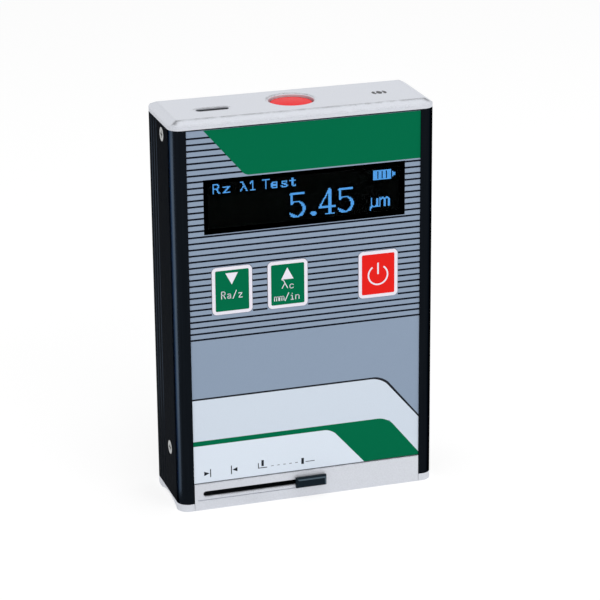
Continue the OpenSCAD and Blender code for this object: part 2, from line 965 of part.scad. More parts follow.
module sensor_coil() {
  color("#9c5a2c")
    span(
      [channel_x1 - 2.6, arm_y - groove_in_w / 2, arm_low + 0.2],
      [channel_x1, arm_y + groove_in_w / 2, arm_low + groove_in_h]
    );
}

module stylus_pin() {
  color("#c4c7cc")
    bar_y(arm_y - arm_w / 2, arm_y + arm_w / 2, stylus_pivot_x, stylus_z, stylus_pin_d);
}

module stylus_arm() {
  color("#b5b8be")
    difference() {
      union() {
        span(
          [tip_x - 0.45, arm_y - stylus_w / 2, stylus_z - stylus_h / 2],
          [channel_x1 - 3.2, arm_y + stylus_w / 2, stylus_z + stylus_h / 2]
        );
        bar_y(arm_y - stylus_w / 2, arm_y + stylus_w / 2, stylus_pivot_x, stylus_z, 1.9);
      }
      bar_y(arm_y - cut, arm_y + cut, stylus_pivot_x, stylus_z, stylus_pin_d + 2 * run);
    }
}

module stylus_tip() {
  color("#2b2d31") {
    translate([tip_x, arm_y, tip_z])
      cylinder(d1 = 0.1, d2 = post_d, h = 0.7);
    translate([tip_x, arm_y, tip_z + 0.7])
      cylinder(d = post_d, h = stylus_z - stylus_h / 2 - tip_z - 0.7);
  }
}

module start_button() {
  color("#ee4040") {
    intersection() {
      translate([button_x, button_y, button_flange_z])
        cylinder(d = button_d, h = button_top - button_flange_z + cut);
      translate([button_x, button_y, button_top - dome_r])
        sphere(r = dome_r);
    }
    translate([button_x, button_y, button_flange_z])
      cylinder(d = button_flange_d, h = button_flange_t);
    translate([button_x, button_y, board_top - start_dip])
      cylinder(d = start_stem_d, h = button_flange_z - board_top + start_dip + weld);
  }
}

// One key: cap in its opening, flange behind the wall and stem into its switch
module key(x) {
  cap_y = label_y - key_proud;
  flange_y = in_front + air;
  panel(x, key_z, key_w, key_h, cap_y, flange_y + flange_t, key_r);
  panel(
    x, key_z, key_w + 2 * flange_edge, key_h + 2 * flange_edge,
    flange_y, flange_y + flange_t, key_r
  );
  bar_y(flange_y, board_y - key_dip, x, key_z, stem_d);
}

module down_key() {
  color("#0d6b48")
    key(down_x);
}

module up_key() {
  color("#0d6b48")
    key(up_x);
}

module power_key() {
  color("#f02024")
    key(power_x);
}

module shutter_plate() {
  tab_t = 0.8;
  z1 = slot_z + stem_h / 2;
  color("#a9acb2") {
    span(
      [plate_x, plate_front, plate_z],
      [plate_x + plate_w, plate_rear, plate_z + plate_t]
    );
    span([stem_x, plate_front, plate_z], [stem_x + stem_w, plate_front + tab_t, z1]);
    span(
      [stem_x, front - air - lever_grip, slot_z - stem_h / 2],
      [stem_x + stem_w, plate_front + tab_t, z1]
    );
  }
}

module shutter_lever() {
  x0 = lever_x - lever_w / 2;
  x1 = lever_x + lever_w / 2;
  y0 = front - lever_out;
  y1 = front - air;
  z0 = slot_z - lever_h / 2;
  z1 = slot_z + lever_h / 2;
  color("#1b1c1f")
    difference() {
      intersection() {
        translate([0, 0, z0])
          linear_extrude(height = lever_h)
            polygon([
              [x0, y1],
              [x0, y0 + lever_edge],
              [x0 + lever_edge, y0],
              [x1 - lever_edge, y0],
              [x1, y0 + lever_edge],
              [x1, y1]
            ]);
        translate([x0, 0, 0])
          rotate([90, 0, 90])
            linear_extrude(height = lever_w)
              polygon([
                [y1, z0],
                [y0 + lever_edge, z0],
                [y0, z0 + lever_edge],
                [y0, z1 - lever_edge],
                [y0 + lever_edge, z1],
                [y1, z1]
              ]);
      }
      span(
        [stem_x, front - air - lever_grip, slot_z - stem_h / 2],
        [stem_x + stem_w, front, slot_z + stem_h / 2]
      );
    }
}
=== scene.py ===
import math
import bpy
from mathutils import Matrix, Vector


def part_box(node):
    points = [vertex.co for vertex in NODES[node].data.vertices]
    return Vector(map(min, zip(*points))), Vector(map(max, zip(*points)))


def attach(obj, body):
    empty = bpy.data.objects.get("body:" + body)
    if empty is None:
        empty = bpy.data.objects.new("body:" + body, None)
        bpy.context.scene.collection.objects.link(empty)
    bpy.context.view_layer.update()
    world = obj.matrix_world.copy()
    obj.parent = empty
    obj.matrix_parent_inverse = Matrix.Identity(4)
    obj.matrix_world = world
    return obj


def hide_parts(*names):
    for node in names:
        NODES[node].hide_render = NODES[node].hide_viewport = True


bl_info = {
    "name": "Surface roughness tester",
    "version": (1, 0, 0),
    "blender": (4, 5, 0),
    "location": "3D View > Sidebar > Tester",
    "description": "Dresses the solids of a pocket surface roughness tester",
    "category": "Object",
}

import bmesh
import bpy
from mathutils import Matrix, Vector

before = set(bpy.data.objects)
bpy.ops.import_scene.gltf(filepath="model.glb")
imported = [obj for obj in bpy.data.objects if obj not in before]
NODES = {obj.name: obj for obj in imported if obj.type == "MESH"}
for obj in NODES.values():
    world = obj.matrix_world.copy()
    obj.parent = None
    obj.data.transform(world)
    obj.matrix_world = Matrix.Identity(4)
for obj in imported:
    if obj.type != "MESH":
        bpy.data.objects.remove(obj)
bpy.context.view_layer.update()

# One millimetre in metres: sizes are in millimetres until they are multiplied by it
MM = 0.001
# Distance in metres under which doubled vertices are merged
WELD = 1e-7
# Flange of a key behind the label, and the gap round its cap
FLANGE, GAP = 0.9, 0.12
# Sockets of a colour mix node, which has several of each name
FACTOR, FROM, TO, MIXED = 0, 6, 7, 2
METAL = {"Metallic": 1.0}


def linear(code):
    """sRGB hex colour as linear red, green, blue and alpha."""
    parts = [int(code[i : i + 2], 16) / 255 for i in (1, 3, 5)]
    return tuple(p / 12.92 if p <= 0.04045 else ((p + 0.055) / 1.055) ** 2.4 for p in parts) + (1.0,)


def colour(code, name, description):
    """Colour property with an sRGB hex default."""
    return bpy.props.FloatVectorProperty(
        name=name, description=description, subtype="COLOR", size=4, min=0, max=1, default=linear(code)
    )


def length(value, name, description):
    """Length property given in millimetres, kept in metres."""
    return bpy.props.FloatProperty(
        name=name,
        description=description,
        default=value * MM,
        min=0,
        precision=5,
        subtype="DISTANCE",
        unit="LENGTH",
    )


def amount(value, name, description, unit="NONE"):
    """Strength or power property."""
    return bpy.props.FloatProperty(name=name, description=description, default=value, min=0, unit=unit)


def box_mm(node):
    """Lowest and highest corner of a solid, in millimetres."""
    low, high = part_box(node)
    return Vector(low) / MM, Vector(high) / MM


class TESTER_PG_case(bpy.types.PropertyGroup):
    """Colours of the metal case"""

    housing: colour("#11151a", "Housing", "Black anodised extrusion")
    trim: colour("#d8dbe2", "Cap and base", "Clear anodised aluminium")
    mark: colour("#2e3035", "Cap mark", "Ink of the small mark on the cap")


class TESTER_PG_label(bpy.types.PropertyGroup):
    """Sizes and colours of the printed label"""

    film: colour("#8f9fb4", "Film", "Ground colour of the label")
    stripe: colour("#10141e", "Pinstripes", "Ink of the fine stripes")
    green: colour("#006a46", "Green", "Ink of the green bands")
    band: colour("#d3dde9", "Upper band", "Ink of the pale band")
    field: colour("#dfe8f3", "Lower field", "Ink of the palest field")
    ink: colour("#25282e", "Symbols", "Ink of the small symbols and lines")
    stripe_count: bpy.props.IntProperty(
        name="Pinstripe count", description="How many fine stripes", default=34, min=1
    )
    stripe_low: length(47.2, "Lowest pinstripe", "Height of the lowest stripe")
    stripe_pitch: length(1.615, "Pinstripe spacing", "Distance from stripe to stripe")
    stripe_width: length(0.48, "Pinstripe width", "Width of one stripe")


class TESTER_PG_display(bpy.types.PropertyGroup):
    """Readout of the display"""

    glow: colour("#4aa3f0", "Readout", "Colour of the lit dots")
    strength: amount(1.1, "Glow", "Strength of the lit dots")
    pitch: length(0.2875, "Dot spacing", "Distance from dot to dot")
    dot: length(0.25, "Dot size", "Width of one dot")


class TESTER_PG_controls(bpy.types.PropertyGroup):
    """Colours of the keys, button and lever"""

    green: colour("#006c47", "Green keys", "Ink of the two green keys")
    red: colour("#e8231f", "Red key", "Ink of the power key")
    white: colour("#ece9f3", "Key borders", "Ink of borders and legends")
    button: colour("#ec2227", "Start button", "Plastic of the start button")
    lever: colour("#0a1821", "Lever", "Plastic of the shutter lever")
    border: length(0.88, "Key border", "Width of the pale border of a key")


class TESTER_PG_stage(bpy.types.PropertyGroup):
    """Light of the studio"""

    world: amount(0.5, "World", "Strength of the even light")
    key_light: amount(4.3, "Front light", "Power of the lamp at the front", "POWER")
    top_light: amount(3.1, "Top light", "Power of the lamp above", "POWER")
    edge_light: amount(0.027, "Edge light", "Power of the near card at the left", "POWER")


def add(tree, kind, inputs=None, **settings):
    """Add a node, set its properties, and set or link its inputs."""
    made = tree.nodes.new(kind)
    for name, value in settings.items():
        setattr(made, name, value)
    for key, value in (inputs or {}).items():
        if isinstance(value, bpy.types.NodeSocket):
            tree.links.new(value, made.inputs[key])
        else:
            made.inputs[key].default_value = value
    return made


def shaded(tint, factor):
    """A colour made lighter or darker."""
    return tuple(min(1.0, c * factor) for c in tint[:3]) + (1.0,)


def painted_crease_shade(tree, place, tone, tint, width):
    """Colour of a part with painted shade, in patches, along the break of its upper front edge and along
    its mitres.
    """
    # An edge is where the rounded normal leaves the flat one
    bevel = add(tree, "ShaderNodeBevel", {"Radius": width * MM}, samples=6)
    flat = add(tree, "ShaderNodeNewGeometry")
    turn = add(
        tree,
        "ShaderNodeVectorMath",
        {0: bevel.outputs["Normal"], 1: flat.outputs["Normal"]},
        operation="DOT_PRODUCT",
    )
    crease_shade = add(
        tree, "ShaderNodeMapRange", {"Value": turn.outputs["Value"], "From Min": 1.0, "From Max": 0.972}
    )
    # A mitre is the line on the bevel where both sides of the case are equally far
    mitre_width = 2.6 * MM
    outer = box_mm("housing")[1]
    sides = add(tree, "ShaderNodeSeparateXYZ", {"Vector": place})
    x, y = (add(tree, "ShaderNodeMath", {0: sides.outputs[axis]}, operation="ABSOLUTE") for axis in "XY")
    lead = add(tree, "ShaderNodeMath", {0: x.outputs[0], 1: y.outputs[0]}, operation="SUBTRACT")
    corner = (outer.x - outer.y) * MM
    lead = add(tree, "ShaderNodeMath", {0: lead.outputs[0], 1: corner}, operation="SUBTRACT")
    lead = add(tree, "ShaderNodeMath", {0: lead.outputs[0]}, operation="ABSOLUTE")
    seam = add(
        tree, "ShaderNodeMapRange", {"Value": lead.outputs[0], "From Min": mitre_width, "From Max": 0.0}
    )
    seam = add(tree, "ShaderNodeMath", {0: seam.outputs[0], 1: 3.0}, operation="POWER")
    slope = add(tree, "ShaderNodeSeparateXYZ", {"Vector": flat.outputs["Normal"]})
    slope = add(
        tree, "ShaderNodeMapRange", {"Value": slope.outputs["Z"], "From Min": 0.99, "From Max": 0.95}
    )
    seam = add(tree, "ShaderNodeMath", {0: seam.outputs[0], 1: slope.outputs[0]}, operation="MULTIPLY")
    crease_shade = add(tree, "ShaderNodeMath", {0: crease_shade.outputs[0], 1: seam.outputs[0]}, operation="MAXIMUM")
    # Only the break between the flat top and the front bevel gets this painted shade as a dark line
    facing = add(tree, "ShaderNodeSeparateXYZ", {"Vector": bevel.outputs["Normal"]})
    front = add(
        tree,
        "ShaderNodeMapRange",
        {"Value": facing.outputs["Y"], "From Min": -0.02, "From Max": -0.15, "To Min": 0.1, "To Max": 1.0},
    )
    upper = add(
        tree, "ShaderNodeMapRange", {"Value": facing.outputs["Z"], "From Min": 0.7, "From Max": 0.8}
    )
    patch_size = 2.2 * MM
    patches = add(tree, "ShaderNodeTexNoise", {"Vector": place, "Scale": 1 / patch_size, "Detail": 2.0})
    uneven = add(
        tree, "ShaderNodeMapRange", {"Value": patches.outputs["Fac"], "From Min": 0.2, "From Max": 0.55}
    )
    for share in (front, upper, uneven):
        crease_shade = add(tree, "ShaderNodeMath", {0: crease_shade.outputs[0], 1: share.outputs[0]}, operation="MULTIPLY")
    # Painted shade: the part's tint darkened to three tenths
    shade_tone = shaded(tint, 0.3)
    mix = add(tree, "ShaderNodeMix", {FACTOR: crease_shade.outputs[0], FROM: tone, TO: shade_tone}, data_type="RGBA")
    return mix.outputs[MIXED]


def painted_shade(tree, place, tone, corners):
    """Colour of a part painted dark as shade between two corners."""
    low, high = corners
    centre, half = (low + high) / 2 * MM, (high - low) / 2 * MM
    away = add(tree, "ShaderNodeVectorMath", {0: place, 1: centre}, operation="SUBTRACT")
    away = add(tree, "ShaderNodeVectorMath", {0: away.outputs[0]}, operation="ABSOLUTE")
    away = add(tree, "ShaderNodeVectorMath", {0: away.outputs[0], 1: half}, operation="SUBTRACT")
    axes = add(tree, "ShaderNodeSeparateXYZ", {"Vector": away.outputs[0]})
    far = add(tree, "ShaderNodeMath", {0: axes.outputs["X"], 1: axes.outputs["Y"]}, operation="MAXIMUM")
    far = add(tree, "ShaderNodeMath", {0: far.outputs[0], 1: axes.outputs["Z"]}, operation="MAXIMUM")
    inside = add(tree, "ShaderNodeMath", {0: far.outputs[0], 1: 0.0}, operation="LESS_THAN")
    # Dark grey of the painted shade
    black = linear("#35383c")
    mix = add(tree, "ShaderNodeMix", {FACTOR: inside.outputs[0], FROM: tone, TO: black}, data_type="RGBA")
    return mix.outputs[MIXED]


def painted_edge_highlight(tree, tone, tint):
    """Colour of a part with a painted highlight on its front edges at the top and the right."""
    # On these edges the normal is turned a little up or to the right
    turned, either_way = 0.38, 0.15
    facing = add(tree, "ShaderNodeNewGeometry")
    axes = add(tree, "ShaderNodeSeparateXYZ", {"Vector": facing.outputs["Normal"]})
    turn = add(tree, "ShaderNodeMath", {0: axes.outputs["X"], 1: axes.outputs["Z"]}, operation="MAXIMUM")
    edge = add(tree, "ShaderNodeMath", {0: turn.outputs[0], 1: turned, 2: either_way}, operation="COMPARE")
    mix = add(tree, "ShaderNodeMix", {FACTOR: edge.outputs[0], FROM: tone, TO: tint}, data_type="RGBA")
    return mix.outputs[MIXED]


def surface(
    name,
    tint,
    rough,
    grain,
    vary,
    relief,
    stretch=(1, 1, 1),
    spread=0.06,
    edge=0.0,
    black=None,
    edge_highlight=None,
    shader=None,
):
    """Material whose colour, gloss and relief follow one grain.

    Grain is its size and relief its depth; one that is too fine to show is drawn at 0.2 mm or more. Vary is
    the share by which the colour gets lighter and darker, spread the change of roughness, and stretch the
    scale along each axis. Edge is the width of painted shade along creases and mitres, black the two
    corners of a box painted dark as shade, edge_highlight the colour of a painted highlight on edges, and
    shader holds other values of the shader.
    """
    material = bpy.data.materials.get(name)
    if material:
        return material
    material = bpy.data.materials.new(name)
    material.use_nodes = True
    material.diffuse_color = tint
    tree = material.node_tree
    tree.nodes.clear()
    place = add(tree, "ShaderNodeTexCoord").outputs["Object"]
    scale = tuple(s / (grain * MM) for s in stretch)
    mapping = add(tree, "ShaderNodeMapping", {"Vector": place, "Scale": scale})
    noise = add(
        tree,
        "ShaderNodeTexNoise",
        {"Vector": mapping.outputs["Vector"], "Scale": 1.0, "Detail": 3.0, "Roughness": 0.55},
    ).outputs["Fac"]
    ramp = add(tree, "ShaderNodeValToRGB", {"Fac": noise})
    for index, position, factor in ((0, 0.3, 1 - vary), (1, 0.7, 1 + vary)):
        stop = ramp.color_ramp.elements[index]
        stop.position = position
        stop.color = shaded(tint, factor)
    gloss = add(
        tree,
        "ShaderNodeMapRange",
        {"Value": noise, "To Min": max(0.0, rough - spread), "To Max": rough + spread},
    )
    bump = add(tree, "ShaderNodeBump", {"Height": noise, "Strength": 0.6, "Distance": relief * MM})
    tone = ramp.outputs["Color"]
    # Painted shade along the creases and mitres
    if edge:
        tone = painted_crease_shade(tree, place, tone, tint, edge)
    # Painted shade: a box of the part painted dark
    if black:
        tone = painted_shade(tree, place, tone, black)
    # Painted highlight on the front edges at the top and the right
    if edge_highlight:
        tone = painted_edge_highlight(tree, tone, edge_highlight)
    inputs = {"Base Color": tone, "Roughness": gloss.outputs["Result"], "Normal": bump.outputs["Normal"]}
    made = add(tree, "ShaderNodeBsdfPrincipled", {**inputs, **(shader or {})})
    add(tree, "ShaderNodeOutputMaterial", {"Surface": made.outputs["BSDF"]})
    return material


def paint(material, *nodes):
    """Give solids of the frame their finish."""
    for node in nodes:
        for slot in NODES[node].material_slots:
            slot.material = material


def piece(name, bm, material, body="case", smooth=False):
    """Turn a finished bmesh into a piece that rides on a body."""
    bmesh.ops.recalc_face_normals(bm, faces=bm.faces)
    for face in bm.faces:
        face.smooth = smooth
    mesh = bpy.data.meshes.new(name)
    bm.to_mesh(mesh)
    bm.free()
    mesh.materials.append(material)
    made = bpy.data.objects.new(name, mesh)
    bpy.context.scene.collection.objects.link(made)
    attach(made, body)
    return made


def thicken(bm, faces, step):
    """Give flat faces a thickness along a step."""
    grown = bmesh.ops.extrude_face_region(bm, geom=faces, use_keep_orig=True)
    moved = [v for v in grown["geom"] if isinstance(v, bmesh.types.BMVert)]
    bmesh.ops.translate(bm, verts=moved, vec=[s * MM for s in step])


def flat_shape(bm, corners, y, depth, rounds=None):
    """Flat outline in the front plane with a thickness towards the front.

    Corners are pairs of x and height, and rounds gives the radius of a corner by its number.
    """
    verts = [bm.verts.new((x * MM, y * MM, z * MM)) for x, z in corners]
    face = bm.faces.new(verts)
    start = set(bm.faces) - {face}
    for index, reach in (rounds or {}).items():
        bmesh.ops.bevel(
            bm,
            geom=[verts[index]],
            offset=reach * MM,
            offset_type="OFFSET",
            affect="VERTICES",
            segments=8,
            profile=0.5,
            material=-1,
        )
    thicken(bm, [f for f in bm.faces if f not in start], (0, -depth, 0))


def bar(x0, x1, z0, z1):
    """Corners of a rectangle in the front plane."""
    return [(x0, z0), (x1, z0), (x1, z1), (x0, z1)]


def arc(bm, centre, axis, radii, start, sweep, steps):
    """Flat arc round an axis between two radii, its angles counted from the x axis."""
    edge = bm.edges.new([bm.verts.new(centre + Vector((radius * MM, 0, 0))) for radius in radii])
    turn = Matrix.Rotation(start, 3, Vector(axis))
    bmesh.ops.rotate(bm, cent=centre, matrix=turn, verts=list(edge.verts))
    bmesh.ops.spin(bm, geom=[edge], cent=centre, axis=axis, angle=sweep, steps=steps, use_merge=False)


def legend(bm, words, x, z, cell, wide, tall, pen, y, depth):
    """Words drawn with a pen in the front plane, each sign in a cell of its own."""
    for place, sign in enumerate(words):
        for stroke in SIGNS[sign]:
            points = [Vector((x + cell * place + a * wide, z + b * tall)) for a, b in stroke]
            for a, b in zip(points, points[1:]):
                along = (b - a).normalized() * pen / 2
                across = Vector((-along.y, along.x))
                # Each stroke runs on by a share of the pen, so that the next one meets it
                run_on = 0.6
                a, b = a - along * run_on, b + along * run_on
                flat_shape(bm, [a - across, b - across, b + across, a + across], y, depth)


def silver(settings, finish="blasted", edge=1.5, black=None):
    """Clear anodised aluminium, bead blasted: an even pale sheen, a faint grain, and painted shade at
    creases and mitres.
    """
    return surface(
        "clear anodised aluminium, " + finish,
        settings.trim,
        rough=0.55,
        grain=0.35,
        vary=0.05,
        relief=0.014,
        edge=edge,
        black=black,
        shader={"Metallic": 0.6},
    )


def satin(name, tint):
    """Print behind a satin film: an even colour with a very fine grain and little reflection."""
    return surface(
        name, tint, rough=0.55, grain=0.25, vary=0.02, relief=0.002, shader={"Specular IOR Level": 0.03}
    )


def steel():
    """Nickel plated steel, stamped: bright, with faint drawing marks."""
    return surface(
        "nickel plated steel, stamped",
        linear("#a2a4a4"),
        rough=0.3,
        grain=0.5,
        vary=0.05,
        relief=0.002,
        shader=METAL,
    )


class TESTER_OT_case(bpy.types.Operator):
    """Finish the housing, cap, base, strip, screws and socket"""

    bl_idname = "tester.case"
    bl_label = "Finish case"

    def execute(self, context):
        settings = context.scene.tester_case
        # Black anodised extrusion: a dark skin with fine die lines along its length
        black = surface(
            "black anodised aluminium, extruded",
            settings.housing,
            rough=0.25,
            grain=0.5,
            vary=0.14,
            relief=0.004,
            stretch=(1, 1, 0.02),
            # The dyed skin lets little of the metal's edge glare through
            shader={**METAL, "Specular Tint": linear("#8e9093")},
        )
        paint(black, "housing")
        paint(silver(settings), "slot_plate")
        # Painted shade: the wall of the socket's slot is painted dark under its edge
        edge = 0.32
        low, high = box_mm("usb_socket")
        high.z = box_mm("top_cap")[1].z - edge
        paint(silver(settings, "slot blackened", black=(low, high)), "top_cap")
        # Painted shade: the base is painted dark inside the housing, so that the slot over it shows dark
        under, beyond = 0.02, Vector((1, 1, 1))
        low, high = box_mm("base")
        low.z = box_mm("housing")[0].z - under
        paint(silver(settings, "inside blackened", edge=0.0, black=(low, high + beyond)), "base")
        paint(steel(), "side_screws")
        # Socket painted all over as its black insert: partly its real insert, partly painted shade down in
        # its slot
        insert = surface(
            "nylon insert, moulded black", linear("#1e1a19"), rough=0.5, grain=0.4, vary=0.1, relief=0.002
        )
        paint(insert, "usb_socket")
        return {"FINISHED"}


class TESTER_OT_cap_mark(bpy.types.Operator):
    """Print the small mark on the cap"""

    bl_idname = "tester.cap_mark"
    bl_label = "Print cap mark"

    def execute(self, context):
        settings = context.scene.tester_case
        # Pad printed ink: dark and dull, a little thin in places
        ink = surface(
            "pad printed ink, dark grey", settings.mark, rough=0.5, grain=0.2, vary=0.1, relief=0.001
        )
        at = Vector((23.6, -0.7, box_mm("top_cap")[1].z)) * MM
        # An oval dot between two arcs
        dot, arcs, quarter, thick = (0.75, 1.35), (1.15, 1.95), math.radians(90), 0.02
        bm = bmesh.new()
        oval = Matrix.Translation(at) @ Matrix.Diagonal((*dot, 1, 1))
        bmesh.ops.create_circle(bm, cap_ends=True, segments=16, radius=MM, matrix=oval)
        for side in (0, math.pi):
            arc(bm, at, (0, 0, 1), arcs, start=side - quarter / 2, sweep=quarter, steps=10)
        bmesh.ops.remove_doubles(bm, verts=bm.verts, dist=WELD)
        thicken(bm, bm.faces[:], (0, 0, thick))
        piece("cap_mark", bm, ink)
        return {"FINISHED"}


def free_runs(z, low, high, gaps, shortest=0.05):
    """Stretches of a stripe at height z that the openings leave free."""
    runs = [(low, high)]
    for x0, x1, z0, z1 in gaps:
        if z0 < z < z1:
            runs = [
                part
                for a, b in runs
                for part in ((a, min(b, x0)), (max(a, x1), b))
                if part[1] - part[0] > shortest
            ]
    return runs


# Outlines of the symbols over the slot: the measured stretch, the stylus and the lever
SYMBOLS = (
    bar(-26.6, -26.35, 8.95, 11.2),
    [(-28.2, 9.45), (-26.75, 10.05), (-28.2, 10.65)],
    bar(-20.95, -20.7, 9.0, 11.4),
    [(-19.2, 9.6), (-19.2, 10.8), (-20.55, 10.2)],
    bar(-13.6, -13.38, 9.6, 11.1),
    bar(-13.6, -11.1, 9.55, 9.77),
    bar(-12.65, -12.0, 10.1, 11.8),
    *(bar(-10.0 + 1.65 * i, -9.3 + 1.65 * i, 9.78, 9.92) for i in range(5)),
    bar(-1.7, -1.0, 9.2, 10.9),
    bar(-0.55, 1.95, 9.68, 9.86),
)


class TESTER_OT_label(bpy.types.Operator):
    """Finish the label film and print its stripes, bands and symbols"""

    bl_idname = "tester.label"
    bl_label = "Print label"

    def execute(self, context):
        settings = context.scene.tester_label
        low, high = box_mm("front_label")
        left, right, y = low.x, high.x, low.y
        # Polycarbonate film, printed on its back: an even satin with a very fine grain
        paint(satin("polycarbonate film, satin", settings.film), "front_label")

        # Stripes stop at the display and the keys, and a little above and below them
        margin, inset = 0.15, FLANGE - GAP
        a, b = box_mm("display_window")
        gaps = [(a.x, b.x, a.z - margin, b.z + margin)]
        for node in ("down_key", "up_key", "power_key"):
            a, b = box_mm(node)
            gaps.append((a.x + inset, b.x - inset, a.z + inset - margin, b.z - inset + margin))
        half = settings.stripe_width / MM / 2
        stripes = []
        for i in range(settings.stripe_count):
            z = (settings.stripe_low + i * settings.stripe_pitch) / MM
            stripes += [bar(x0, x1, z - half, z + half) for x0, x1 in free_runs(z, left, right, gaps)]

        # Heights of the bands from the foot of the case, where the pale band turns down, and its dark line
        green_foot, band_top, sweep_top, sweep_foot = 89.85, 30.65, 19.3, 17.95
        band_turn, line = 20.6, 0.48
        green_band = [(right, high.z), (-26.5, high.z), (-15.75, green_foot), (right, green_foot)]
        band_edge = [
            (left, 30),
            (left, band_top + line),
            (band_turn + line, band_top + line),
            (right, 18.6 + line),
            (right, 17.5),
        ]
        pale_band = [
            (left, 18.5),
            (left, band_top),
            (band_turn, band_top),
            (right, 18.4),
            (right, 8.0),
            (22.8, 18.5),
        ]
        pale_field = [(left, low.z), (left, 18.3), (6.6, 18.3), (16.5, low.z)]
        green_sweep = [
            (left, sweep_foot),
            (left, sweep_top),
            (22.2, sweep_top),
            (right, 8.44),
            (right, low.z),
            (15.74, low.z),
            (6.65, sweep_foot),
        ]
        # Name, ink, colour, thickness, outlines and rounded corners; a print over another is thicker
        for name, ink, tint, thick, outlines, rounds in (
            ("pinstripes", "black", settings.stripe, 0.01, stripes, None),
            ("green_band", "green", settings.green, 0.02, [green_band], {2: 1.0}),
            ("band_edge", "dark line", settings.ink, 0.01, [band_edge], {2: 2.6}),
            ("pale_band", "pale band", settings.band, 0.015, [pale_band], {2: 2.6}),
            ("pale_field", "pale field", settings.field, 0.015, [pale_field], None),
            ("green_sweep", "green", settings.green, 0.02, [green_sweep], {6: 1.9, 2: 2.6}),
            ("symbols", "symbols", settings.ink, 0.025, SYMBOLS, None),
        ):
            bm = bmesh.new()
            for corners in outlines:
                flat_shape(bm, corners, y, thick, rounds)
            piece("label_" + name, bm, satin("screen printed ink, " + ink, tint))
        return {"FINISHED"}


# Pen strokes of the small signs on a grid of dots, from the lower left; capitals are eight high
SIGNS = {
    "R": [[(0, 0), (0, 8), (3.5, 8), (5, 7), (5, 5.2), (3.5, 4.2), (0, 4.2)], [(2.6, 4.2), (5.4, 0)]],
    "T": [[(0, 8), (6, 8)], [(3, 8), (3, 0)]],
    "a": [
        [(0.8, 4.5), (2.2, 5), (3.8, 5), (5, 4.2), (5, 0)],
        [(5, 2.8), (2, 2.8), (0.5, 1.7), (0.8, 0.4), (3, 0), (5, 1.2)],
    ],
    "c": [[(5.2, 4.2), (4, 5), (2, 5), (0.5, 3.8), (0.5, 1.2), (2, 0), (4, 0), (5.3, 0.8)]],
    "e": [
        [(0.4, 2.6), (5.4, 2.6), (5.2, 4.2), (4, 5), (2, 5)]
        + [(0.4, 4), (0.4, 1.2), (2, 0), (4.4, 0), (5.4, 0.7)],
    ],
    "i": [[(1.4, 5), (3, 5), (3, 0)], [(1.2, 0), (4.8, 0)], [(3, 7), (3, 7.5)]],
    "m": [
        [(0, 5), (0, 0)],
        [(0, 4), (1.2, 5), (2.2, 5), (3, 4), (3, 0)],
        [(3, 4), (4.2, 5), (5.2, 5), (6, 4), (6, 0)],
    ],
    "n": [[(0.4, 5), (0.4, 0)], [(0.4, 3.8), (2, 5), (4, 5), (5.2, 3.9), (5.2, 0)]],
    "s": [
        [(5.3, 4.4), (4, 5), (2, 5), (0.6, 4.2), (1, 3)]
        + [(4.8, 2.2), (5.4, 1), (4, 0), (1.8, 0), (0.4, 0.7)],
    ],
    "t": [[(2.4, 7.4), (2.4, 1.2), (3.4, 0), (5.4, 0.5)], [(0.3, 5), (5.2, 5)]],
    "z": [[(0.4, 5), (5.4, 5), (0.4, 0), (5.6, 0)]],
    "1": [[(1, 6.6), (3, 8), (3, 0)], [(1, 0), (5, 0)]],
    "/": [[(0.2, -0.8), (5.4, 8.6)]],
    "λ": [[(0, 8), (1.4, 8), (5.6, 0)], [(3, 5), (0, 0)]],
    "µ": [
        [(0.8, 5), (0.8, 0.6), (0, -1.6)],
        [(0.8, 0.8), (1.8, 0), (3, 0), (4.4, 1)],
        [(4.4, 5), (4.4, 0.4), (5.2, 0)],
    ],
}
# The large figures are drawn with a broad and a fine pen
BROAD = {
    "5": [
        [(2.2, 21.4), (13, 21.4)],
        [(2.4, 21.4), (2.4, 12.4)],
        [(11.6, 12.4), (13.6, 10), (14, 7), (13.2, 4.2), (11, 1.6)],
        [(2.4, 2.2), (4.4, 1.2)],
    ],
    ".": [[(5.2, 1.8), (8.2, 1.8)], [(6, 2.6), (7.4, 2.6)], [(6, 1.0), (7.4, 1.0)]],
    "4": [[(10.8, 22), (10.8, 0.6)]],
}
FINE = {
    "5": [
        [(2.4, 12.2), (5, 13.9), (8.4, 14.2), (11.6, 12.8)],
        [(11.4, 1.4), (8.4, 0.2), (5, 0.4), (2.4, 2), (1.2, 3.8)],
    ],
    "4": [[(10.2, 21.6), (1.2, 6.4), (16, 6.4)], [(6.8, 0), (14.8, 0)]],
}
# The sign of a full cell: its frame, its tip and four bars
CELL = [
    [(0, 0), (16, 0), (16, 8), (0, 8), (0, 0)],
    [(18.2, 2), (18.2, 6)],
    [(19.2, 2.6), (19.2, 5.4)],
    [(20.2, 3.4), (20.2, 4.6)],
] + [[(x + k, 1), (x + k, 7)] for x in (1, 5, 9, 13) for k in (0, 1, 2)]


def near(point, a, b):
    """Distance from a point to a stroke between two points."""
    p, a, b = Vector(point), Vector(a), Vector(b)
    run = b - a
    share = max(0.0, min(1.0, (p - a).dot(run) / run.length_squared))
    return (p - a - share * run).length


def lit_dots(strokes, pen):
    """Dots of the grid that the pen covers."""
    xs = [p[0] for stroke in strokes for p in stroke]
    zs = [p[1] for stroke in strokes for p in stroke]
    return [
        (i, j)
        for i in range(math.floor(min(xs) - pen), math.ceil(max(xs) + pen) + 1)
        for j in range(math.floor(min(zs) - pen), math.ceil(max(zs) + pen) + 1)
        if any(near((i, j), a, b) <= pen for stroke in strokes for a, b in zip(stroke, stroke[1:]))
    ]


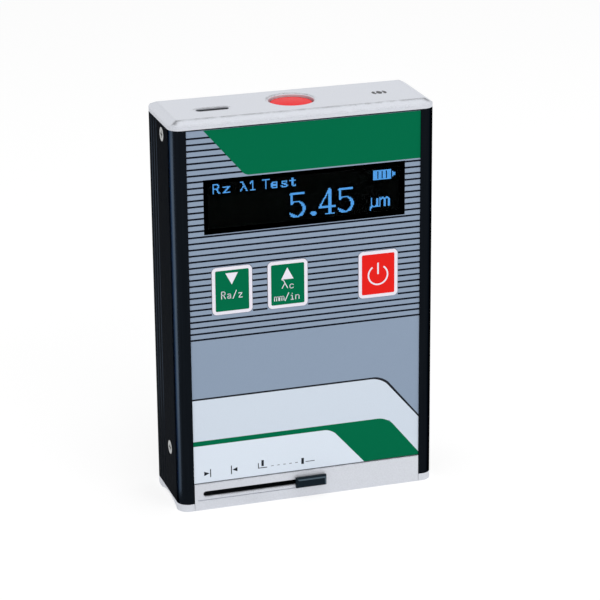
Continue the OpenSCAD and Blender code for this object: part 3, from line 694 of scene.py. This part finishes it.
class TESTER_OT_display(bpy.types.Operator):
    """Finish the pane and the display, and light the dots of its readout"""

    bl_idname = "tester.display"
    bl_label = "Light display"

    def execute(self, context):
        settings = context.scene.tester_display
        # Clear acrylic with a coating against glare: the dark display shows through it
        pane = surface(
            "acrylic, coated against glare",
            linear("#f4f6f8"),
            rough=0.04,
            grain=2.0,
            vary=0.01,
            relief=0.0002,
            spread=0.02,
            # The coating takes the reflection away, which an index of one stands for
            shader={"IOR": 1.0, "Transmission Weight": 1.0},
        )
        paint(pane, "display_window")
        # Display glass with a black back: deep black with little reflection
        glass = surface(
            "display glass, black backed",
            linear("#020303"),
            rough=0.12,
            grain=1.0,
            vary=0.1,
            relief=0.0002,
            spread=0.03,
            shader={"Specular IOR Level": 0.01},
        )
        paint(glass, "oled_module")
        # Lit diodes: each dot glows in an even blue
        glow = surface(
            "organic diodes, lit",
            shaded(settings.glow, 0.05),
            rough=0.5,
            grain=0.3,
            vary=0.08,
            relief=0.0002,
            shader={"Emission Color": settings.glow, "Emission Strength": settings.strength},
        )
        corner = box_mm("oled_module")[0]
        pitch = settings.pitch / MM
        lit = set()

        def show(strokes, x, z, pen, grow=1.0):
            column, row = round((x - corner.x) / pitch), round((z - corner.z) / pitch)
            strokes = [[(a * grow, b * grow) for a, b in stroke] for stroke in strokes]
            lit.update((column + i, row + j) for i, j in lit_dots(strokes, pen))

        # Feet of the words, the figures and the unit, and the step from sign to sign in a word
        words_foot, figures_foot, unit_foot, step = 85.5, 77.4, 77.9, 2.35
        for words, x in (("Rz", -23.95), ("λ1", -16.95), ("Test", -11.05)):
            for place, sign in enumerate(words):
                show(SIGNS[sign], x + step * place, words_foot, pen=0.62)
        for sign, x in zip("5.45", (-4.3, 0.45, 3.65, 8.6)):
            for strokes, pen in ((BROAD, 1.3), (FINE, 0.75)):
                if sign in strokes:
                    show(strokes[sign], x, figures_foot, pen)
        for sign, x in (("µ", 17.6), ("m", 20.3)):
            show(SIGNS[sign], x, unit_foot, pen=0.8, grow=1.45)
        show(CELL, 18.4, 85.0, pen=0.6)

        # Each dot is a thin square just in front of the glass
        thick, proud = 0.01, 0.012
        size = Matrix.Diagonal((settings.dot, thick * MM, settings.dot, 1))
        bm = bmesh.new()
        for column, row in lit:
            at = Vector((corner.x + column * pitch, corner.y - proud, corner.z + row * pitch)) * MM
            bmesh.ops.create_cube(bm, size=1, matrix=Matrix.Translation(at) @ size)
        piece("readout", bm, glow)
        return {"FINISHED"}


class TESTER_OT_keys(bpy.types.Operator):
    """Finish the keys with their borders, fields and legends"""

    bl_idname = "tester.keys"
    bl_label = "Print keys"

    def execute(self, context):
        settings = context.scene.tester_controls
        # Inks of the keys behind their film: even satin colours
        white = satin("screen printed ink, key white", settings.white)
        green = satin("screen printed ink, key green", settings.green)
        red = satin("screen printed ink, key red", settings.red)
        inset = FLANGE + settings.border / MM
        thick, rounded = 0.02, 0.35
        for key, field, slot in (
            ("down_key", green, "green_key"),
            ("up_key", green, "green_key"),
            ("power_key", red, "red_key"),
        ):
            paint(white, key)
            low, high = box_mm(key)
            corners = bar(low.x + inset, high.x - inset, low.z + inset, high.z - inset)
            bm = bmesh.new()
            flat_shape(bm, corners, low.y, thick, dict.fromkeys(range(4), rounded))
            piece(key + "_field", bm, field, key + "_body")

        # Arrows and legends lie on the fields
        face = box_mm("down_key")[0].y - thick
        deep, pen = 0.015, 0.2
        for key, corners in (
            ("down_key", [(-21.5, 64.45), (-19.85, 61.3), (-18.2, 64.45)]),
            ("up_key", [(-6.7, 61.1), (-3.4, 61.1), (-5.05, 64.25)]),
        ):
            bm = bmesh.new()
            flat_shape(bm, corners, face, deep)
            piece(key + "_arrow", bm, white, key + "_body")
        # Words, left end, foot, step from sign to sign, and width and height of a dot of the grid
        up_lines = (
            ("λ", -6.5, 58.7, 1.5, 0.266, 0.28),
            ("c", -4.5, 58.55, 1.5, 0.2, 0.215),
            ("mm/in", -8.55, 55.45, 1.4, 0.19, 0.225),
        )
        for key, lines in (
            ("down_key", (("Ra/z", -22.6, 57.65, 1.48, 0.185, 0.235),)),
            ("up_key", up_lines),
        ):
            bm = bmesh.new()
            for words, x, z, cell, wide, tall in lines:
                legend(bm, words, x, z, cell, wide, tall, pen, face, deep)
            piece(key + "_legend", bm, white, key + "_body")

        # Power sign: a ring that is open at the top, and a bar
        ring, gap = (2.4, 2.82), math.radians(70)
        centre = Vector((19.5, face, 59.5)) * MM
        bm = bmesh.new()
        arc(
            bm,
            centre,
            axis=(0, -1, 0),
            radii=ring,
            start=math.pi / 2 + gap / 2,
            sweep=2 * math.pi - gap,
            steps=40,
        )
        bmesh.ops.remove_doubles(bm, verts=bm.verts, dist=WELD)
        thicken(bm, bm.faces[:], (0, -deep, 0))
        flat_shape(bm, bar(19.28, 19.72, 59.7, 62.8), face, deep)
        piece("power_sign", bm, white, "power_key_body")
        return {"FINISHED"}


class TESTER_OT_start_button(bpy.types.Operator):
    """Turn the domed start button with its rounded rim"""

    bl_idname = "tester.start_button"
    bl_label = "Turn start button"

    def execute(self, context):
        settings = context.scene.tester_controls
        # Moulded ABS, polished mould: glossy with a faint flow
        red = surface(
            "ABS, gloss moulded",
            settings.button,
            rough=0.25,
            grain=1.2,
            vary=0.03,
            relief=0.001,
            spread=0.03,
            shader={"Specular IOR Level": 0.03},
        )
        low, high = box_mm("start_button")
        middle = (low + high) / 2
        # Radius of the stem, size of the flange, depth of its seat, rise of the dome and round of its rim
        stem, flange, sunk, rise, soft = 1.7, 1.0, 1.3, 0.3, 0.3
        seat = box_mm("housing")[1].z - sunk
        wide = (high.x - low.x) / 2
        radius, rim = wide - flange, high.z - rise
        profile = [(0, low.z), (stem, low.z), (stem, seat), (wide, seat)]
        profile += [(wide, seat + flange), (radius, seat + flange), (radius, rim - soft)]
        for degrees in (20, 40, 60, 80):
            a = math.radians(degrees)
            profile.append((radius - soft + soft * math.cos(a), rim - soft + soft * math.sin(a)))
        ball = (radius**2 + rise**2) / (2 * rise)
        for share in (0.93, 0.8, 0.65, 0.5, 0.35, 0.2, 0.08, 0):
            profile.append((radius * share, high.z - ball + math.sqrt(ball**2 - (radius * share) ** 2)))
        bm = bmesh.new()
        verts = [bm.verts.new(((middle.x + r) * MM, middle.y * MM, z * MM)) for r, z in profile]
        edges = [bm.edges.new(pair) for pair in zip(verts, verts[1:])]
        bmesh.ops.spin(
            bm,
            geom=verts + edges,
            cent=(middle.x * MM, middle.y * MM, 0),
            axis=(0, 0, 1),
            angle=2 * math.pi,
            steps=64,
            use_merge=True,
        )
        bmesh.ops.remove_doubles(bm, verts=bm.verts, dist=WELD)
        button = piece("start_button_cap", bm, red, "start_button_body", True)
        button.data.set_sharp_from_angle(angle=math.radians(40))
        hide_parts("start_button")
        return {"FINISHED"}


class TESTER_OT_lever(bpy.types.Operator):
    """Shape the shutter lever with its broken edges"""

    bl_idname = "tester.lever"
    bl_label = "Shape lever"

    def execute(self, context):
        settings = context.scene.tester_controls
        # Moulded ABS, eroded mould: dull black with a fine grain, and a painted highlight on its front
        # edges at the top and the right
        black = surface(
            "ABS, grained black",
            settings.lever,
            rough=0.45,
            grain=0.2,
            vary=0.12,
            relief=0.004,
            # Pale blue grey of the painted highlight
            edge_highlight=linear("#4a5862"),
            shader={"Specular IOR Level": 0.08},
        )
        low, high = box_mm("shutter_lever")
        centre, size = (low + high) / 2 * MM, (high - low) * MM
        broken = 0.6
        bm = bmesh.new()
        bmesh.ops.create_cube(bm, size=1, matrix=Matrix.Translation(centre) @ Matrix.Diagonal((*size, 1)))
        bmesh.ops.bevel(
            bm,
            geom=[e for e in bm.edges if all(v.co.y < centre.y for v in e.verts)],
            offset=broken * MM,
            offset_type="OFFSET",
            affect="EDGES",
            segments=2,
            profile=0.5,
            material=-1,
        )
        lever = piece("lever_grip", bm, black, "shutter")
        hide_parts("shutter_lever")
        return {"FINISHED"}


class TESTER_OT_inside(bpy.types.Operator):
    """Finish the boards, cell and drive inside the case"""

    bl_idname = "tester.inside"
    bl_label = "Finish inside"

    def execute(self, context):
        along_y, round_x, along_z = (1, 0.1, 1), (4, 1, 1), (1, 1, 0.1)
        # Glass epoxy board: green mask over a faint weave
        board = surface(
            "glass epoxy, green mask", linear("#1b5a38"), rough=0.35, grain=0.6, vary=0.12, relief=0.004
        )
        paint(board, "main_board")
        # Moulded black parts on the board: dull, with a fine grain
        dark = surface(
            "filled nylon, moulded black", linear("#1b1c1f"), rough=0.45, grain=0.3, vary=0.12, relief=0.003
        )
        paint(dark, "display_header", "key_switches", "start_switch", "control_chips")
        # Shrink film over the cell: glossy and a little wavy
        film = surface("shrink film, blue", linear("#3f6fa8"), rough=0.3, grain=3.0, vary=0.08, relief=0.02)
        paint(film, "battery")
        # Milled aluminium: bright, with fine marks of the cutter
        milled = surface(
            "aluminium, milled",
            linear("#b4b7bc"),
            rough=0.35,
            grain=0.4,
            vary=0.06,
            relief=0.004,
            stretch=along_y,
            shader=METAL,
        )
        paint(milled, "drive_frame", "pickup_body", "stylus_arm")
        # Grey anodised aluminium: duller than the bare one, with the same marks
        grey = surface(
            "grey anodised aluminium, milled",
            linear("#6d7279"),
            rough=0.4,
            grain=0.4,
            vary=0.06,
            relief=0.004,
            stretch=along_y,
            shader={"Metallic": 0.8},
        )
        paint(grey, "carriage")
        # Ground steel: bright with fine marks round the bar
        ground = surface(
            "steel, ground",
            linear("#cfd1d4"),
            rough=0.18,
            grain=0.3,
            vary=0.04,
            relief=0.001,
            stretch=round_x,
            shader=METAL,
        )
        paint(ground, "guide_rods", "lead_screw", "pickup_pin", "stylus_pin", "pickup_skid", "stylus_tip")
        paint(steel(), "frame_screws", "gear_motor", "shutter_plate")
        # Turned brass: warm, with fine rings
        brass = surface(
            "brass, turned",
            linear("#c2a15c"),
            rough=0.25,
            grain=0.3,
            vary=0.06,
            relief=0.002,
            stretch=round_x,
            shader=METAL,
        )
        paint(brass, "screw_bushes", "motor_pinion", "drive_nut")
        # Moulded acetal: off white with a waxy sheen
        acetal = surface(
            "acetal, moulded", linear("#e8e5da"), rough=0.4, grain=0.8, vary=0.03, relief=0.003
        )
        paint(acetal, "screw_gear")
        # Wound copper wire: warm, with the lines of its turns
        copper = surface(
            "copper wire, wound",
            linear("#b06a3a"),
            rough=0.3,
            grain=0.15,
            vary=0.2,
            relief=0.02,
            stretch=along_z,
            shader=METAL,
        )
        paint(copper, "sensor_coil")
        return {"FINISHED"}


def set_background(scene, strength):
    """White background that lights the part more faintly than it shows."""
    world = bpy.data.worlds.new("white studio")
    scene.world = world
    world.use_nodes = True
    tree = world.node_tree
    tree.nodes.clear()
    path = add(tree, "ShaderNodeLightPath").outputs
    seen = path["Is Camera Ray"]
    for ray in ("Is Transmission Ray", "Is Glossy Ray"):
        seen = add(tree, "ShaderNodeMath", {0: seen, 1: path[ray]}, operation="MAXIMUM").outputs[0]
    power = add(tree, "ShaderNodeMapRange", {"Value": seen, "To Min": strength, "To Max": 1.0})
    white = {"Color": linear("#ffffff"), "Strength": power.outputs["Result"]}
    back = add(tree, "ShaderNodeBackground", white)
    add(tree, "ShaderNodeOutputWorld", {"Surface": back.outputs["Background"]})


def lay_floor(scene):
    """White paper under the part."""
    half_size, below = 3000 * MM, 0.05 * MM
    bm = bmesh.new()
    lowered = Matrix.Translation((0, 0, -below))
    bmesh.ops.create_grid(bm, x_segments=1, y_segments=1, size=half_size, matrix=lowered)
    mesh = bpy.data.meshes.new("floor")
    bm.to_mesh(mesh)
    bm.free()
    floor = bpy.data.objects.new("floor", mesh)
    scene.collection.objects.link(floor)
    # White paper sweep: it shows white and keeps a soft shadow, and from below it is clear
    paper = bpy.data.materials.new("white paper, matt")
    paper.use_nodes = True
    tree = paper.node_tree
    tree.nodes.clear()
    path = add(tree, "ShaderNodeLightPath").outputs
    place = add(tree, "ShaderNodeTexCoord").outputs["Object"]
    # The fibres lie in faint clouds
    cloud_size = 6 * MM
    fibre = add(tree, "ShaderNodeTexNoise", {"Vector": place, "Scale": 1 / cloud_size, "Detail": 2.0})
    tone = add(tree, "ShaderNodeMapRange", {"Value": fibre.outputs["Fac"], "To Min": 0.84, "To Max": 0.88})
    matt = add(tree, "ShaderNodeBsdfDiffuse", {"Color": tone.outputs["Result"]})
    # The eye sees a thin shadow on a lit ground
    thin = add(tree, "ShaderNodeBsdfDiffuse", {"Color": linear("#959595")})
    light = add(tree, "ShaderNodeEmission", {"Color": linear("#ffffff"), "Strength": 0.76})
    both = add(tree, "ShaderNodeAddShader", {0: thin.outputs[0], 1: light.outputs[0]})
    seen = add(
        tree, "ShaderNodeMath", {0: path["Is Camera Ray"], 1: path["Is Glossy Ray"]}, operation="MAXIMUM"
    )
    mix = add(tree, "ShaderNodeMixShader", {0: seen.outputs[0], 1: matt.outputs[0], 2: both.outputs[0]})
    clear = add(tree, "ShaderNodeBsdfTransparent")
    side = add(tree, "ShaderNodeNewGeometry").outputs["Backfacing"]
    mix = add(tree, "ShaderNodeMixShader", {0: side, 1: mix.outputs[0], 2: clear.outputs[0]})
    add(tree, "ShaderNodeOutputMaterial", {"Surface": mix.outputs[0]})
    mesh.materials.append(paper)


def hang_lamps(scene, settings):
    """Two softboxes, and two cards at the left that show in the housing's corner and grooves alone."""
    housing = bpy.data.collections.new("lit by the cards")
    housing.objects.link(NODES["housing"])
    far_share = 2.6
    middle = Vector((0, 0, 50)) * MM
    for name, power, place, width, height in (
        ("front softbox", settings.key_light, (250, -900, 550), 900, 600),
        ("top softbox", settings.top_light, (0, -100, 950), 900, 700),
        ("near card", settings.edge_light, (-45, -7.9, 50.5), 10, 100),
        ("far card", settings.edge_light * far_share, (-90, 10.5, 44), 55, 86),
    ):
        lamp = bpy.data.lights.new(name, "AREA")
        lamp.shape = "RECTANGLE"
        lamp.size = width * MM
        lamp.size_y = height * MM
        lamp.energy = power
        made = bpy.data.objects.new(name, lamp)
        made.location = Vector(place) * MM
        card = name.endswith("card")
        aim = Vector((1, 0, 0)) if card else middle - made.location
        made.rotation_euler = aim.to_track_quat("-Z", "Y").to_euler()
        made.visible_glossy = card
        made.visible_camera = False
        scene.collection.objects.link(made)
        if card:
            made.light_linking.receiver_collection = housing


def set_camera(scene):
    """Camera whose angle, roll, distance and lens are fitted to the edges of the object."""
    azimuth, elevation, roll = (math.radians(a) for a in (-17.473, 19.465, -0.510))
    target, distance = Vector((2.011, 0, 50.633)) * MM, 662.74 * MM
    focal_pixels, picture_pixels = 2528.085, 600
    lens = bpy.data.cameras.new("camera")
    lens.sensor_width = 36
    lens.lens = focal_pixels / picture_pixels * lens.sensor_width
    lens.clip_start = 0.01
    camera = bpy.data.objects.new("camera", lens)
    camera.matrix_world = (
        Matrix.Translation(target)
        @ Matrix.Rotation(azimuth, 4, "Z")
        @ Matrix.Rotation(math.pi / 2 - elevation, 4, "X")
        @ Matrix.Rotation(roll, 4, "Z")
        @ Matrix.Translation((0, 0, distance))
    )
    scene.collection.objects.link(camera)
    scene.camera = camera


class TESTER_OT_stage(bpy.types.Operator):
    """Set the floor, light, background and camera"""

    bl_idname = "tester.stage"
    bl_label = "Set stage"

    def execute(self, context):
        scene = context.scene
        scene.view_settings.view_transform = "Standard"
        set_background(scene, scene.tester_stage.world)
        lay_floor(scene)
        hang_lamps(scene, scene.tester_stage)
        set_camera(scene)
        return {"FINISHED"}


OPERATORS = (
    TESTER_OT_case,
    TESTER_OT_cap_mark,
    TESTER_OT_label,
    TESTER_OT_display,
    TESTER_OT_keys,
    TESTER_OT_start_button,
    TESTER_OT_lever,
    TESTER_OT_inside,
    TESTER_OT_stage,
)
GROUPS = {
    "tester_case": TESTER_PG_case,
    "tester_label": TESTER_PG_label,
    "tester_display": TESTER_PG_display,
    "tester_controls": TESTER_PG_controls,
    "tester_stage": TESTER_PG_stage,
}


class TESTER_PT_panel(bpy.types.Panel):
    """Steps and settings of the tester"""

    bl_label = "Roughness tester"
    bl_idname = "TESTER_PT_panel"
    bl_space_type = "VIEW_3D"
    bl_region_type = "UI"
    bl_category = "Tester"

    def draw(self, context):
        for operator in OPERATORS:
            self.layout.operator(operator.bl_idname)
        for name, group in GROUPS.items():
            box = self.layout.box()
            box.label(text=group.__doc__)
            for key in group.__annotations__:
                box.prop(getattr(context.scene, name), key)


def register():
    for group in GROUPS.values():
        bpy.utils.register_class(group)
    for name, group in GROUPS.items():
        setattr(bpy.types.Scene, name, bpy.props.PointerProperty(type=group))
    for operator in OPERATORS:
        bpy.utils.register_class(operator)
    bpy.utils.register_class(TESTER_PT_panel)


def unregister():
    bpy.utils.unregister_class(TESTER_PT_panel)
    for operator in reversed(OPERATORS):
        bpy.utils.unregister_class(operator)
    for name, group in GROUPS.items():
        delattr(bpy.types.Scene, name)
        bpy.utils.unregister_class(group)


def main():
    register()
    bpy.ops.tester.case()
    bpy.ops.tester.cap_mark()
    bpy.ops.tester.label()
    bpy.ops.tester.display()
    bpy.ops.tester.keys()
    bpy.ops.tester.start_button()
    bpy.ops.tester.lever()
    bpy.ops.tester.inside()
    bpy.ops.tester.stage()


if __name__ == "__main__":
    main()
